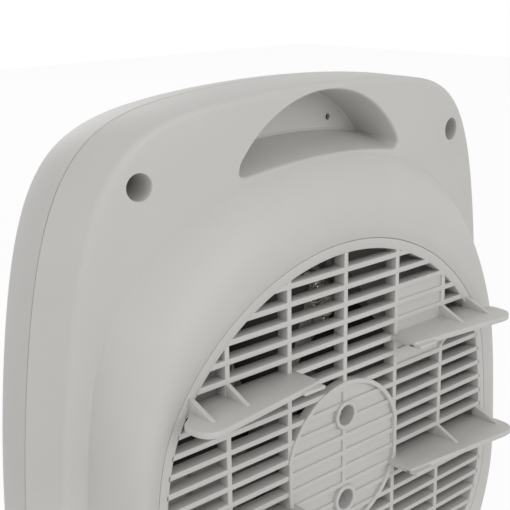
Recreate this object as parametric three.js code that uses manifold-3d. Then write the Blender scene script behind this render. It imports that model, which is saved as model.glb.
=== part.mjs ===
// Bathroom wall fan heater: a moulded rear cover with a domed air inlet, an inlet grille with four
// stand-off brackets, a front cover with the warm air outlet and two knobs, and the works between them.
// Millimetres. x is to the right seen from the front, y runs to the rear, z is up.

import * as THREE from 'three';
import { mergeVertices } from 'three/addons/utils/BufferGeometryUtils.js';
import Module from 'manifold-3d';

const wasm = await Module();
wasm.setup();

// Fits and walls.
const wall = 2.5;
const clearance = 0.3;

// The body seen from behind: a barrel of a box with soft corners.
const bodyHeight = 301;
const bodyHalfWidth = 119;
const sideSpread = 6;
const widestHeight = 126;
const sideRadius = 630;
const topRadius = 504;
const cornerPower = 8;
const footHeight = 5;

// Depths, all measured forward from the plane of the inlet grille.
const plateDepth = 10.3;
const plateBow = 600;
const plateFillet = 4;
const partingDepth = 36.4;
const frontDepth = 72;
const frontInset = 19;
const bezelHeight = 4;
const bezelWidth = 5;

// Inlet opening: a round arch on two straight legs, a little wider at the bottom.
const inletHeight = 140;
const archRadius = 96.6;
const legHalfWidth = 92;
const legFlare = 0.1;
const archBottom = 67;
const ringWidth = 4;
const ringDepth = 6;
const flangeWidth = 3;
const domeRadius = 133.7;
const domeMargin = 9;
const domeBottom = 108;
const crestWidth = 4.5;
const crestHeight = 0.9;

// Inlet grille.
const slatPitch = 7;
const slatThickness = 2.4;
const slatDepth = 4;
const firstSlat = 88.8;
const barPitch = 30.5;
const barWidth = 2.3;
const blindTop = 75.5;
const blindBottom = 40;
const shieldRadius = 33;
const shieldSetback = 1;
const shieldThickness = 2.2;
const shieldRim = 2;
const shieldRimHeight = 0.8;

// Stand-off brackets, which also hold the wound-up mains cord.
const upperBracket = 53.8;
const lowerBracket = -2.2;
const bracketInner = 27.3;
const bracketReach = 12.5;
const bracketTip = 20;
const upperBracketOuter = 87;
const lowerBracketOuter = 93.5;
const gussetHeight = 8;
const lipHeight = 4;
const lipWidth = 10;
const lipThickness = 2.5;

// Carrying pocket and its hanging hole.
const pocketHalfWidth = 43;
const pocketTop = 157.5;
const pocketBottom = 133.7;
const pocketTopRadius = 51;
const pocketSag = 4;
const pocketDepth = 24.4;
const pocketBack = 1.5;
const hangHoleRadius = 1.2;
const hangHoleHeight = 147;

// Case screws in deep wells.
const wellRadius = 4.6;
const wellWall = 2;
const wellFloor = 31;
const caseScrewX = 83.6;
const upperScrewZ = 132.7;
const lowerScrewX = 88;
const lowerScrewZ = -118;
const screwHeadRadius = 4;
const screwHeadHeight = 3;
const screwRadius = 1.8;
const screwReach = 15;
const postWall = 3;

// Motor, fan and heater, all on one axis.
const axisHeight = 11;
const motorScrewOffset = 18.6;
const bossRadius = 6;
const bossHeight = 1.2;
const bossFloor = 6.5;
const motorRadius = 29;
const motorLength = 22;
const capLength = 4;
const shaftRadius = 4;
const hubRadius = 15;
const hubLength = 12;
const bladeCount = 5;
const bladeRadius = 71;
const bladeThickness = 1.8;
const nutRadius = 7;
const nutLength = 4;
const heaterRadius = 80;
const heaterWall = 2;
const heaterDepth = 15.5;
const micaThickness = 1.2;
const coilRingRadius = 58;
const coilRadius = 5.2;
const wireRadius = 0.6;
const coilCurls = 24;

// Outlet grille.
const outletRadius = 76;
const outletRing = 5;
const outletSlatPitch = 10;
const outletSlatThickness = 2.4;
const outletSlatDepth = 5;
const outletBarPitch = 26;

// Controls.
const knobX = 48;
const knobZ = 119;
const knobRadius = 18;
const knobDepth = 14;
const spindleRadius = 3;
const controlWidth = 24;
const controlDepth = 16;
const lensRadius = 4;
const lensRise = 2;

// Feet and cord inlet.
const footRadius = 7;
const footX = 84;
const rearFootDepth = 26;
const frontFootDepth = 54;
const inletBushRadius = 6;
const inletBoreRadius = 3.5;
const inletFlangeRadius = 8.5;
const inletBushZ = -123;

// Values that follow.
const bodyBottom = -inletHeight;
const bodyTop = bodyBottom + bodyHeight;
const widestZ = bodyBottom + widestHeight;
const seatOffset = ringWidth + clearance;
const crestOffset = seatOffset + crestWidth;
const frontInner = frontDepth - wall;
const capDepth = bossFloor + wall + clearance;
const canDepth = capDepth + capLength + clearance;
const canEnd = canDepth + motorLength - capLength;
const hubStart = canEnd + 1.5;
const hubEnd = hubStart + hubLength;
const shaftStart = capDepth + 2;
const shaftEnd = hubEnd + nutLength + 1.5;
const flangeFront = frontInner - clearance;
const flangeRear = flangeFront - 1.8;
const heaterFront = flangeRear - clearance;
const heaterRear = heaterFront - heaterDepth;
const pocketFloor = plateDepth + pocketDepth;
const wellBase = wellFloor + wall;
const knobFace = frontDepth + 1 + knobDepth;
const depthShift = (knobFace - bracketTip) / 2;

const abs = {
  casing: new THREE.MeshStandardMaterial({ color: 0xc3bfbb, roughness: 0.55, metalness: 0 }),
  rubber: new THREE.MeshStandardMaterial({ color: 0x2c2c2e, roughness: 0.8, metalness: 0 }),
};
const steel = new THREE.MeshStandardMaterial({ color: 0x9a9c9e, roughness: 0.35, metalness: 1 });
const darkPlastic = new THREE.MeshStandardMaterial({ color: 0x26262a, roughness: 0.6, metalness: 0 });
const mica = new THREE.MeshStandardMaterial({ color: 0xa89c84, roughness: 0.7, metalness: 0 });
const wireMetal = new THREE.MeshStandardMaterial({ color: 0xb5ada2, roughness: 0.4, metalness: 1 });
const amber = new THREE.MeshStandardMaterial({ color: 0xd9822b, roughness: 0.2, metalness: 0 });

// ---- Solids from three.js geometries ----

function solid(geometry) {
  const bare = geometry.clone();
  bare.deleteAttribute('normal');
  bare.deleteAttribute('uv');
  const merged = mergeVertices(bare, 1e-4);
  const vertProperties = new Float32Array(merged.attributes.position.array);
  const triVerts = new Uint32Array(merged.index.array);
  return new wasm.Manifold(new wasm.Mesh({ numProp: 3, vertProperties, triVerts }));
}

function geometryOf(body) {
  const mesh = body.getMesh();
  const geometry = new THREE.BufferGeometry();
  geometry.setAttribute('position', new THREE.BufferAttribute(mesh.vertProperties, 3));
  geometry.setIndex(new THREE.BufferAttribute(mesh.triVerts, 1));
  geometry.computeVertexNormals();
  return geometry;
}

function joined(bodies) {
  return bodies.reduce((whole, body) => whole.add(body));
}

// A closed surface from rings of points, either closed on itself or capped at both ends.
function ringSolid(rings, closed) {
  const count = rings[0].length;
  const points = rings.flat();
  const index = [];
  const bands = closed ? rings.length : rings.length - 1;
  for (let band = 0; band < bands; band += 1) {
    const next = (band + 1) % rings.length;
    for (let i = 0; i < count; i += 1) {
      const j = (i + 1) % count;
      const corners = [band * count + i, band * count + j, next * count + j, next * count + i];
      index.push(corners[0], corners[1], corners[2], corners[0], corners[2], corners[3]);
    }
  }
  if (!closed) {
    const last = (rings.length - 1) * count;
    for (let i = 1; i < count - 1; i += 1) {
      index.push(0, i + 1, i);
      index.push(last, last + i, last + i + 1);
    }
  }
  let volume = 0;
  for (let i = 0; i < index.length; i += 3) {
    const [a, b, c] = [points[index[i]], points[index[i + 1]], points[index[i + 2]]];
    volume += a.dot(new THREE.Vector3().crossVectors(b, c));
  }
  if (volume < 0) index.reverse();
  const geometry = new THREE.BufferGeometry();
  geometry.setAttribute('position', new THREE.Float32BufferAttribute(points.flatMap((p) => p.toArray()), 3));
  geometry.setIndex(index);
  return solid(geometry);
}

// A box between two corners.
function box(x0, x1, y0, y1, z0, z1) {
  const geometry = new THREE.BoxGeometry(x1 - x0, y1 - y0, z1 - z0);
  geometry.translate((x0 + x1) / 2, (y0 + y1) / 2, (z0 + z1) / 2);
  return solid(geometry);
}

// A round bar along y.
function rod(radius, y0, y1, x = 0, z = 0, sides = 20) {
  const geometry = new THREE.CylinderGeometry(radius, radius, y1 - y0, sides);
  geometry.translate(x, (y0 + y1) / 2, z);
  return solid(geometry);
}

// An outline in x and z, given depth along y.
function slab(points, y0, y1) {
  const shape = new THREE.Shape(points);
  const geometry = new THREE.ExtrudeGeometry(shape, { depth: y1 - y0, bevelEnabled: false });
  geometry.rotateX(Math.PI / 2);
  geometry.translate(0, y1, 0);
  return solid(geometry);
}

// An outline in x and y, given height along z.
function plate(points, z0, z1) {
  const shape = new THREE.Shape(points);
  const geometry = new THREE.ExtrudeGeometry(shape, { depth: z1 - z0, bevelEnabled: false });
  geometry.translate(0, 0, z0);
  return solid(geometry);
}

// An outline in y and z, given width along x.
function rib(points, x0, x1) {
  const shape = new THREE.Shape(points.map(([y, z]) => new THREE.Vector2(-z, y)));
  const geometry = new THREE.ExtrudeGeometry(shape, { depth: x1 - x0, bevelEnabled: false });
  geometry.rotateY(Math.PI / 2);
  geometry.translate(x0, 0, 0);
  return solid(geometry);
}

// A turned piece about the y axis: pairs of radius and y.
function turned(profile, sides = 32) {
  const points = profile.map(([radius, y]) => new THREE.Vector2(radius, y));
  return solid(new THREE.LatheGeometry(points, sides));
}

// ---- Outlines of the body ----

function distanceOut(angle, inside) {
  let low = 0;
  let high = 2 * bodyHeight;
  for (let step = 0; step < 40; step += 1) {
    const middle = (low + high) / 2;
    if (inside(middle * Math.cos(angle), middle * Math.sin(angle))) low = middle;
    else high = middle;
  }
  return low;
}

// The body's edge at a level: spread widens its sides.
function bodyEdge(angle, spread) {
  return distanceOut(angle, (x, z) => {
    const half = bodyHalfWidth + spread - (z - widestZ) ** 2 / (2 * sideRadius);
    const top = bodyTop - x ** 2 / (2 * topRadius);
    const middle = (top + bodyBottom) / 2;
    const across = Math.abs(x / half) ** cornerPower;
    const up = Math.abs((z - middle) / (top - middle)) ** cornerPower;
    return half > 0 && across + up < 1;
  });
}

function softLeast(lengths, power) {
  return lengths.reduce((sum, length) => sum + Math.max(0, 1 / length) ** power, 0) ** (-1 / power);
}

function archEdge(angle) {
  const leg = legHalfWidth / (Math.abs(Math.cos(angle)) + legFlare * Math.sin(angle));
  const bottom = archBottom / Math.max(1e-6, -Math.sin(angle));
  return softLeast([archRadius, Math.abs(leg), bottom], 36);
}

function domeEdge(angle) {
  const side = bodyEdge(angle, 0) - domeMargin;
  const bottom = domeBottom / Math.max(1e-6, -Math.sin(angle));
  return softLeast([domeRadius, side, bottom], 18);
}

// Angles of the rings about the inlet's centre, closer together in the body's corners.
function ringAngles() {
  const angles = [];
  for (let i = 0; i < 48; i += 1) angles.push((i * Math.PI) / 24);
  for (const corner of [51, 129, 231, 309]) {
    for (const turn of [-6, 0, 6]) angles.push(((corner + turn) * Math.PI) / 180);
  }
  return [...new Set(angles.map((a) => Math.round(a * 1e6) / 1e6))].sort((a, b) => a - b);
}

const angles = ringAngles();

// Points of a radial edge, moved outward along its own normal.
function edgePoints(edge, offset = 0) {
  const at = (angle) => new THREE.Vector2(Math.cos(angle), Math.sin(angle)).multiplyScalar(edge(angle));
  return angles.map((angle) => {
    const along = at(angle + 1e-3).sub(at(angle - 1e-3)).normalize();
    return at(angle).add(new THREE.Vector2(along.y, -along.x).multiplyScalar(offset));
  });
}

const archPoints = (offset) => edgePoints(archEdge, offset);
const bodyPoints = (inset, spread) => edgePoints((angle) => bodyEdge(angle, spread), -inset);
const plateLevel = (x) => -plateDepth - x ** 2 / (2 * plateBow);
const lift = (points, level) => points.map((p) => new THREE.Vector3(p.x, level(p), p.y));
const flat = (points, y) => lift(points, () => y);

// ---- Rear cover ----

const domeSteps = [0.3, 0.6, 0.85, 1];

function domeRing(share, inward, down) {
  const crest = archPoints(crestOffset);
  const foot = edgePoints(domeEdge);
  return crest.map((from, i) => {
    const at = from.clone().lerp(foot[i], share);
    const base = plateLevel(foot[i].x);
    const y = base + (crestHeight - base) * (1 - share ** 2.4);
    const inner = at.clone().setLength(at.length() - inward);
    return new THREE.Vector3(inner.x, y - down, inner.y);
  });
}

function rearOuterRings() {
  const edge = (inset, down) => lift(bodyPoints(inset, 0), (p) => plateLevel(p.x) - down);
  return [
    flat(archPoints(seatOffset), -0.4),
    flat(archPoints(seatOffset + 1.2), 0.3),
    ...[0, ...domeSteps].map((share) => domeRing(share, 0, 0)),
    edge(plateFillet, 0),
    edge(plateFillet * 0.4, plateFillet * 0.18),
    edge(plateFillet * 0.08, plateFillet * 0.6),
    flat(bodyPoints(0, sideSpread), -partingDepth),
  ];
}

function rearShell() {
  const outer = rearOuterRings();
  const innerPlate = lift(bodyPoints(plateFillet + wall, 0), (p) => plateLevel(p.x) - wall);
  const innerCorner = lift(bodyPoints(wall * 1.3, 0), (p) => plateLevel(p.x) - wall - plateFillet);
  const inner = [
    flat(bodyPoints(wall, sideSpread), -partingDepth),
    innerCorner,
    innerPlate,
    ...[1, 0.6, 0].map((share) => domeRing(share, wall * 0.9 * share, wall)),
    flat(archPoints(seatOffset), -wall - 1),
  ];
  return ringSolid([...outer, ...inner], true);
}

// Everything under the rear cover's outer skin.
function rearEnvelope() {
  const deep = -frontDepth;
  const rings = [...rearOuterRings(), flat(bodyPoints(0, sideSpread), deep), flat(archPoints(seatOffset), deep)];
  return ringSolid(rings, true);
}

// The pocket's crescent: a high arc over a low one, with rounded tips.
function crescent(offset) {
  const topCentre = pocketTop - pocketTopRadius;
  const tipZ = pocketBottom - pocketSag;
  const lowRadius = (pocketHalfWidth ** 2 + pocketSag ** 2) / (2 * pocketSag);
  const lowCentre = pocketBottom - lowRadius;
  const tipRadius = 3.5;
  const points = [];
  const top = (x) => topCentre + Math.sqrt(Math.max(0, (pocketTopRadius + offset) ** 2 - x ** 2));
  const low = (x) => lowCentre + Math.sqrt((lowRadius - offset) ** 2 - x ** 2);
  const reach = pocketHalfWidth + offset;
  const tipBase = tipZ + tipRadius;
  for (let i = 0; i <= 8; i += 1) {
    const x = -(reach - tipRadius) + (2 * (reach - tipRadius) * i) / 8;
    points.push(new THREE.Vector2(x, low(x)));
  }
  points.push(new THREE.Vector2(reach - 0.8, tipBase - 1.5 - offset));
  points.push(new THREE.Vector2(reach, tipBase + 0.5));
  for (let i = 0; i <= 14; i += 1) {
    const angle = Math.asin(Math.min(1, (reach - 1) / (pocketTopRadius + offset))) * (1 - i / 7);
    const radius = pocketTopRadius + offset;
    points.push(new THREE.Vector2(radius * Math.sin(angle), topCentre + radius * Math.cos(angle)));
  }
  points.push(new THREE.Vector2(-reach, tipBase + 0.5));
  points.push(new THREE.Vector2(-reach + 0.8, tipBase - 1.5 - offset));
  return points;
}

const caseScrews = [
  ['case_screw_upper_left', -caseScrewX, upperScrewZ],
  ['case_screw_upper_right', caseScrewX, upperScrewZ],
  ['case_screw_lower_left', -lowerScrewX, lowerScrewZ],
  ['case_screw_lower_right', lowerScrewX, lowerScrewZ],
];

function rearCover() {
  const cup = slab(crescent(wall), -pocketFloor - pocketBack, 5);
  const wells = caseScrews.map(([, x, z]) => rod(wellRadius + wellWall, -wellBase, 5, x, z, 16));
  const solids = joined([cup, ...wells]).intersect(rearEnvelope());
  let body = rearShell().add(solids);
  body = body.subtract(slab(crescent(0), -pocketFloor, 10));
  body = body.subtract(rod(hangHoleRadius, -pocketFloor - pocketBack - 1, 0, 0, hangHoleHeight, 12));
  for (const [, x, z] of caseScrews) {
    body = body.subtract(rod(wellRadius, -wellFloor, 10, x, z, 16));
    body = body.subtract(rod(screwRadius + clearance, -wellBase - 1, 0, x, z, 10));
  }
  return body.subtract(rod(inletBushRadius + clearance, -partingDepth, 0, 0, inletBushZ));
}

// ---- Inlet grille ----

function standOff(side, level, outer, rootOuter) {
  const tip = outer - 6.5;
  const outline = [
    [bracketInner, -2],
    [bracketInner, bracketReach],
    [tip, bracketTip],
    [tip + 3.5, bracketTip - 0.8],
    [outer - 0.8, bracketTip - 3.6],
    [outer, bracketTip - 6],
    [outer, 9],
    [rootOuter, 1.8],
    [rootOuter, -2],
  ].map(([x, y]) => new THREE.Vector2(side * x, y));
  const top = level + slatThickness;
  const rim = (x) => bracketReach + ((bracketTip - bracketReach) * (x - bracketInner)) / (tip - bracketInner);
  const gusset = (x, height, base) => {
    const reach = rim(x) - 2;
    const points = [[-2, base], [reach, base], [-2, base + height]];
    const x0 = side * x - barWidth / 2;
    return rib(height > 0 ? points : points.reverse(), x0, x0 + barWidth);
  };
  const lipInner = bracketInner - 1;
  const lipEdges = [side * lipInner, side * (lipInner + lipWidth)].sort((a, b) => a - b);
  const lipRoot = bracketReach - 0.6;
  const lipTop = level + lipHeight;
  return joined([
    plate(outline, level, top),
    gusset(2 * barPitch, gussetHeight, top - 0.5),
    gusset(rootOuter - 4, gussetHeight, top - 0.5),
    gusset(2 * barPitch, -1.3 * gussetHeight, level + 0.5),
    box(lipEdges[0], lipEdges[1], lipRoot, lipRoot + lipThickness, level - 0.8, lipTop),
  ]);
}

function rearGrille() {
  const frame = slab(archPoints(ringWidth), -ringDepth, 0)
    .add(slab(archPoints(ringWidth + flangeWidth), -ringDepth, -wall - 1 - clearance))
    .subtract(slab(archPoints(0), -ringDepth - 1, 1));
  const inside = slab(archPoints(1), -ringDepth * 2, ringDepth);
  const members = [];
  const reach = archRadius + 2;
  for (let z = firstSlat; z > -archBottom + 1; z -= slatPitch) {
    members.push(box(-reach, reach, -slatDepth, 0, z, z + slatThickness));
  }
  for (let i = -2; i <= 2; i += 1) {
    const x = i * barPitch;
    members.push(box(x - barWidth / 2, x + barWidth / 2, -slatDepth, 0, -reach, reach));
  }
  const blindLeft = -2 * barPitch - slatThickness;
  members.push(box(blindLeft, -barPitch, -slatDepth + 0.6, -shieldSetback, blindBottom, blindTop));
  let body = joined(members).intersect(inside);
  const shieldBack = -shieldSetback - shieldThickness;
  const disc = (radius, half, y0, y1) => rod(radius, y0, y1, 0, axisHeight, 40)
    .intersect(box(-half, half, y0 - 1, y1 + 1, axisHeight - 2 * radius, axisHeight + 2 * radius));
  const half = barPitch + barWidth / 2;
  const rim = disc(shieldRadius, half, shieldBack, shieldRimHeight)
    .subtract(disc(shieldRadius - shieldRim, half - shieldRim, shieldBack - 1, shieldRimHeight + 1));
  body = joined([body, disc(shieldRadius, half, shieldBack, -shieldSetback), rim]);
  for (const way of [1, -1]) {
    const z = axisHeight + way * motorScrewOffset;
    body = body.add(rod(bossRadius, -bossFloor - wall, bossHeight, 0, z));
    body = body.subtract(rod(screwHeadRadius + clearance, -bossFloor, ringDepth, 0, z));
    body = body.subtract(rod(screwRadius + clearance, -bossFloor - wall - 1, 0, 0, z, 16));
  }
  for (const side of [1, -1]) {
    const upperRoot = Math.sqrt(archRadius ** 2 - (upperBracket + slatThickness) ** 2) + 1;
    body = body.add(standOff(side, upperBracket, upperBracketOuter, upperRoot));
    body = body.add(standOff(side, lowerBracket, lowerBracketOuter, legHalfWidth - 1));
  }
  return frame.add(body);
}

// ---- Front cover ----

const aboutAxis = (points) => points.map((p) => {
  const from = new THREE.Vector2(p.x, p.y - axisHeight);
  return Math.atan2(from.y, from.x);
});

function outletPoints(radius) {
  return aboutAxis(edgePoints(archEdge)).map((angle) => (
    new THREE.Vector2(radius * Math.cos(angle), axisHeight + radius * Math.sin(angle))));
}

function frontOuterRings() {
  const rise = frontDepth - partingDepth - clearance;
  const rings = [flat(bodyPoints(0, sideSpread), -partingDepth - clearance)];
  for (let i = 1; i <= 5; i += 1) {
    const turn = (i * Math.PI) / 10;
    const inset = frontInset * (1 - Math.cos(turn));
    rings.push(flat(bodyPoints(inset, sideSpread), -partingDepth - clearance - rise * Math.sin(turn)));
  }
  const bezelOuter = outletRadius + bezelWidth;
  return [
    ...rings,
    flat(outletPoints(bezelOuter), -frontDepth),
    flat(outletPoints(bezelOuter - 1), -frontDepth - bezelHeight * 0.7),
    flat(outletPoints(bezelOuter - 2.5), -frontDepth - bezelHeight),
    flat(outletPoints(outletRadius), -frontDepth - bezelHeight + 0.6),
  ];
}

function frontShell() {
  const rise = frontInner - partingDepth - clearance;
  const inner = [flat(outletPoints(outletRadius), -frontInner)];
  for (let i = 3; i >= 0; i -= 1) {
    const turn = (i * Math.PI) / 6;
    const inset = wall + (frontInset - wall * 0.2) * (1 - Math.cos(turn));
    inner.push(flat(bodyPoints(inset, sideSpread), -partingDepth - clearance - rise * Math.sin(turn)));
  }
  return ringSolid([...frontOuterRings(), ...inner], true);
}

function frontEnvelope() {
  const start = -partingDepth - clearance;
  const rings = [...frontOuterRings(), flat(outletPoints(outletRadius), start)];
  return ringSolid(rings, true);
}

const postRadius = screwRadius + clearance + postWall;
const postStart = wellBase + clearance;

function frontCover() {
  const posts = joined(caseScrews.map(([, x, z]) => rod(postRadius, -frontInner - 1, -postStart, x, z, 12)));
  const capped = posts.intersect(frontEnvelope().add(box(-200, 200, -partingDepth - 1, 0, -200, 200)));
  let body = frontShell().add(capped);
  for (const [, x, z] of caseScrews) {
    body = body.subtract(rod(screwRadius + clearance, -wellFloor - screwReach - 1, 0, x, z, 10));
  }
  for (const x of [-knobX, knobX]) {
    body = body.subtract(rod(spindleRadius + clearance, -frontDepth - 1, -frontInner + 1, x, knobZ, 20));
  }
  return body.subtract(rod(lensRadius + clearance, -frontDepth - 1, -frontInner + 1, 0, knobZ, 20));
}

function frontGrille() {
  const front = frontDepth + bezelHeight - 0.6;
  const outer = outletRadius - clearance;
  const inner = outletRadius - outletRing;
  const ring = rod(outer, -front, -flangeRear, 0, axisHeight, 40)
    .add(rod(outletRadius + 1.6, -flangeFront, -flangeRear, 0, axisHeight, 40))
    .subtract(rod(inner, -front - 1, 0, 0, axisHeight, 40));
  const back = -front + outletSlatDepth;
  const members = [];
  const count = Math.floor(inner / outletSlatPitch);
  for (let i = -count; i <= count; i += 1) {
    const z = axisHeight + i * outletSlatPitch - outletSlatThickness / 2;
    members.push(box(-outer, outer, -front, back, z, z + outletSlatThickness));
  }
  for (const x of [-outletBarPitch, outletBarPitch]) {
    members.push(box(x - 1.2, x + 1.2, -front, back, axisHeight - outer, axisHeight + outer));
  }
  const inside = rod(inner + 1, -front - 1, 0, 0, axisHeight, 40);
  return ring.add(joined(members).intersect(inside));
}

// ---- Screws, feet, cord inlet ----

function screw(seat, reach, x, z) {
  const profile = [
    [0, -seat - reach],
    [screwRadius * 0.5, -seat - reach],
    [screwRadius, -seat - reach + 1.5],
    [screwRadius, -seat],
    [screwHeadRadius - clearance, -seat],
    [screwHeadRadius - clearance, -seat + screwHeadHeight * 0.6],
    [screwHeadRadius * 0.6, -seat + screwHeadHeight],
    [0, -seat + screwHeadHeight],
  ];
  return turned(profile, 10).translate([x, 0, z]);
}

function foot(x, depth, envelope) {
  const bottom = bodyBottom - footHeight;
  const geometry = new THREE.CylinderGeometry(footRadius, footRadius - 1, footHeight * 3, 16);
  geometry.rotateX(Math.PI / 2);
  geometry.translate(x, -depth, bottom + footHeight * 1.5);
  return solid(geometry).subtract(envelope.translate([0, 0, -clearance]));
}

function cordInlet() {
  const rear = -plateDepth + clearance;
  const profile = [
    [inletBoreRadius, rear - wall - 6],
    [inletBushRadius, rear - wall - 6],
    [inletBushRadius, rear],
    [inletFlangeRadius, rear],
    [inletFlangeRadius - 0.8, rear + 2],
    [inletBoreRadius + 0.8, rear + 2],
    [inletBoreRadius, rear + 1.2],
    [inletBoreRadius, rear - wall - 6],
  ];
  return turned(profile, 16).translate([0, 0, inletBushZ]);
}

// ---- Motor and fan ----

function motorCap() {
  let body = rod(motorRadius, -capDepth - capLength, -capDepth, 0, axisHeight, 24);
  body = body.subtract(rod(shaftRadius + clearance, -capDepth - capLength - 1, -shaftStart + clearance, 0, axisHeight));
  for (const way of [1, -1]) {
    const z = axisHeight + way * motorScrewOffset;
    body = body.subtract(rod(screwRadius + clearance, -capDepth - capLength - 1, 0, 0, z, 16));
  }
  return body;
}

function motorCan() {
  const profile = [
    [shaftRadius + clearance, -canEnd - 1],
    [shaftRadius + 4, -canEnd - 1],
    [shaftRadius + 4, -canEnd],
    [motorRadius - 4, -canEnd],
    [motorRadius - 1, -canEnd + 3],
    [motorRadius - 1, -canDepth],
    [shaftRadius + clearance, -canDepth],
    [shaftRadius + clearance, -canEnd - 1],
  ];
  let body = turned(profile, 24).translate([0, 0, axisHeight]);
  for (const way of [1, -1]) {
    const z = axisHeight + way * motorScrewOffset;
    body = body.subtract(rod(screwRadius + clearance, -canDepth - 6, 0, 0, z, 16));
  }
  return body;
}

function motorShaft() {
  const profile = [
    [0, -shaftEnd],
    [shaftRadius - 0.8, -shaftEnd],
    [shaftRadius, -shaftEnd + 0.8],
    [shaftRadius, -shaftStart],
    [0, -shaftStart],
  ];
  return turned(profile, 24).translate([0, 0, axisHeight]);
}

// One blade: thin cambered sections from the hub to the tip, flatter and wider as they go out.
function blade(turn) {
  const rings = [];
  const middle = -(hubStart + hubEnd) / 2;
  const root = hubRadius - 4;
  for (let i = 0; i <= 5; i += 1) {
    const share = i / 5;
    const radius = root + (bladeRadius - root) * share;
    const chord = 13 + 33 * share;
    const pitch = ((38 - 17 * share) * Math.PI) / 180;
    const camber = 2.4 + share;
    const sweep = 0.22 * share;
    const section = [];
    for (const [along, over] of [[-0.5, 0], [0, 1], [0.5, 0]]) {
      section.push([along * chord, camber * over + bladeThickness / 2]);
    }
    for (const [along, over] of [[0.5, 0], [0, 1], [-0.5, 0]]) {
      section.push([along * chord, camber * over - bladeThickness / 2]);
    }
    rings.push(section.map(([along, over]) => {
      const around = along * Math.cos(pitch) - over * Math.sin(pitch);
      const y = middle + along * Math.sin(pitch) + over * Math.cos(pitch);
      const angle = turn + sweep + around / radius;
      return new THREE.Vector3(radius * Math.cos(angle), y, radius * Math.sin(angle));
    }));
  }
  return ringSolid(rings, false);
}

function fanImpeller() {
  const bore = shaftRadius + clearance;
  const profile = [
    [bore, -hubEnd],
    [hubRadius - 1, -hubEnd],
    [hubRadius, -hubEnd + 1],
    [hubRadius, -hubStart],
    [bore, -hubStart],
    [bore, -hubEnd],
  ];
  let body = turned(profile, 30);
  for (let i = 0; i < bladeCount; i += 1) body = body.add(blade((i * 2 * Math.PI) / bladeCount));
  return body.translate([0, 0, axisHeight]);
}

function fanNut() {
  const start = hubEnd + clearance;
  const geometry = new THREE.CylinderGeometry(nutRadius, nutRadius, nutLength, 6);
  geometry.translate(0, -start - nutLength / 2, axisHeight);
  return solid(geometry).subtract(rod(shaftRadius + clearance, -start - nutLength - 1, 0, 0, axisHeight, 24));
}

// ---- Heater ----

function heaterBand() {
  return rod(heaterRadius, -flangeFront, -heaterRear, 0, axisHeight, 40)
    .subtract(rod(heaterRadius - heaterWall, -frontDepth, 0, 0, axisHeight, 40));
}

function micaSheet() {
  const reach = heaterRadius - heaterWall - clearance;
  const half = micaThickness / 2;
  const coilHole = coilRadius + wireRadius + clearance;
  const middle = -(heaterRear + heaterFront) / 2;
  const sheet = box(-reach, reach, -heaterFront, -heaterRear, -half, half);
  const holes = [];
  for (const x of [-coilRingRadius, coilRingRadius]) {
    const geometry = new THREE.CylinderGeometry(coilHole, coilHole, 6, 16);
    geometry.rotateX(Math.PI / 2);
    geometry.translate(x, middle, 0);
    holes.push(solid(geometry));
  }
  return { sheet, holes, middle, half };
}

function micaLevel() {
  const { sheet, holes, middle, half } = micaSheet();
  const slot = box(-half - clearance, half + clearance, -frontDepth, middle + clearance / 2, -5, 5);
  return sheet.subtract(holes[0]).subtract(slot).translate([0, 0, axisHeight]);
}

function micaUpright() {
  const { sheet, holes, middle, half } = micaSheet();
  const slot = box(-half - clearance, half + clearance, middle - clearance / 2, 0, -5, 5);
  const cut = joined([sheet]).subtract(holes[0]).subtract(holes[1]).subtract(slot);
  return cut.rotate([0, 90, 0]).translate([0, 0, axisHeight]);
}

// The heating coil: one open tube, curled about a ring, that starts and ends at the level mica sheet.
function heatingCoil() {
  const steps = coilCurls * 8;
  const start = 0.03;
  const span = 2 * Math.PI - 2 * start;
  const middle = -(heaterRear + heaterFront) / 2;
  const centre = (t) => {
    const around = start + span * t;
    const curl = 2 * Math.PI * coilCurls * t;
    const radius = coilRingRadius + coilRadius * Math.cos(curl);
    return new THREE.Vector3(
      radius * Math.cos(around),
      middle + coilRadius * Math.sin(curl),
      axisHeight + radius * Math.sin(around),
    );
  };
  const rings = [];
  for (let i = 0; i <= steps; i += 1) {
    const t = i / steps;
    const along = centre(t + 1e-4).sub(centre(t - 1e-4)).normalize();
    const around = start + span * t;
    const ringWay = new THREE.Vector3(-Math.sin(around), 0, Math.cos(around));
    const side = new THREE.Vector3().crossVectors(along, ringWay).normalize();
    const up = new THREE.Vector3().crossVectors(side, along);
    const ring = [];
    for (let k = 0; k < 5; k += 1) {
      const turn = (k * 2 * Math.PI) / 5;
      const out = side.clone().multiplyScalar(wireRadius * Math.cos(turn));
      ring.push(centre(t).add(out).addScaledVector(up, wireRadius * Math.sin(turn)));
    }
    rings.push(ring);
  }
  const curlPitch = (span * (coilRingRadius - coilRadius)) / coilCurls;
  const gap = Math.round((curlPitch - 2 * wireRadius) * 100) / 100;
  console.log(`heating coil: least gap between curls ${gap} mm`);
  return ringSolid(rings, false);
}

function thermalCutout() {
  const z = axisHeight + 40;
  const start = heaterRear + 2;
  return box(micaThickness / 2 + clearance, 7, -start - 8, -start, z - 6, z + 6);
}

// ---- Controls ----

function knob(x, pointerTurn) {
  const rear = -frontDepth - 1;
  const front = rear - knobDepth;
  const bore = spindleRadius + clearance;
  const floor = front + 3;
  const profile = [
    [0, front],
    [knobRadius - 4.5, front],
    [knobRadius - 3, front + 1.5],
    [knobRadius - 2, rear - 4],
    [knobRadius, rear - 2.5],
    [knobRadius, rear],
    [bore, rear],
    [bore, floor],
    [0, floor],
  ];
  const body = turned(profile, 24);
  const groove = box(-0.8, 0.8, front - 1, front + 0.8, 4, knobRadius - 5);
  return body.subtract(groove.rotate([0, pointerTurn, 0])).translate([x, 0, knobZ]);
}

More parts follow.
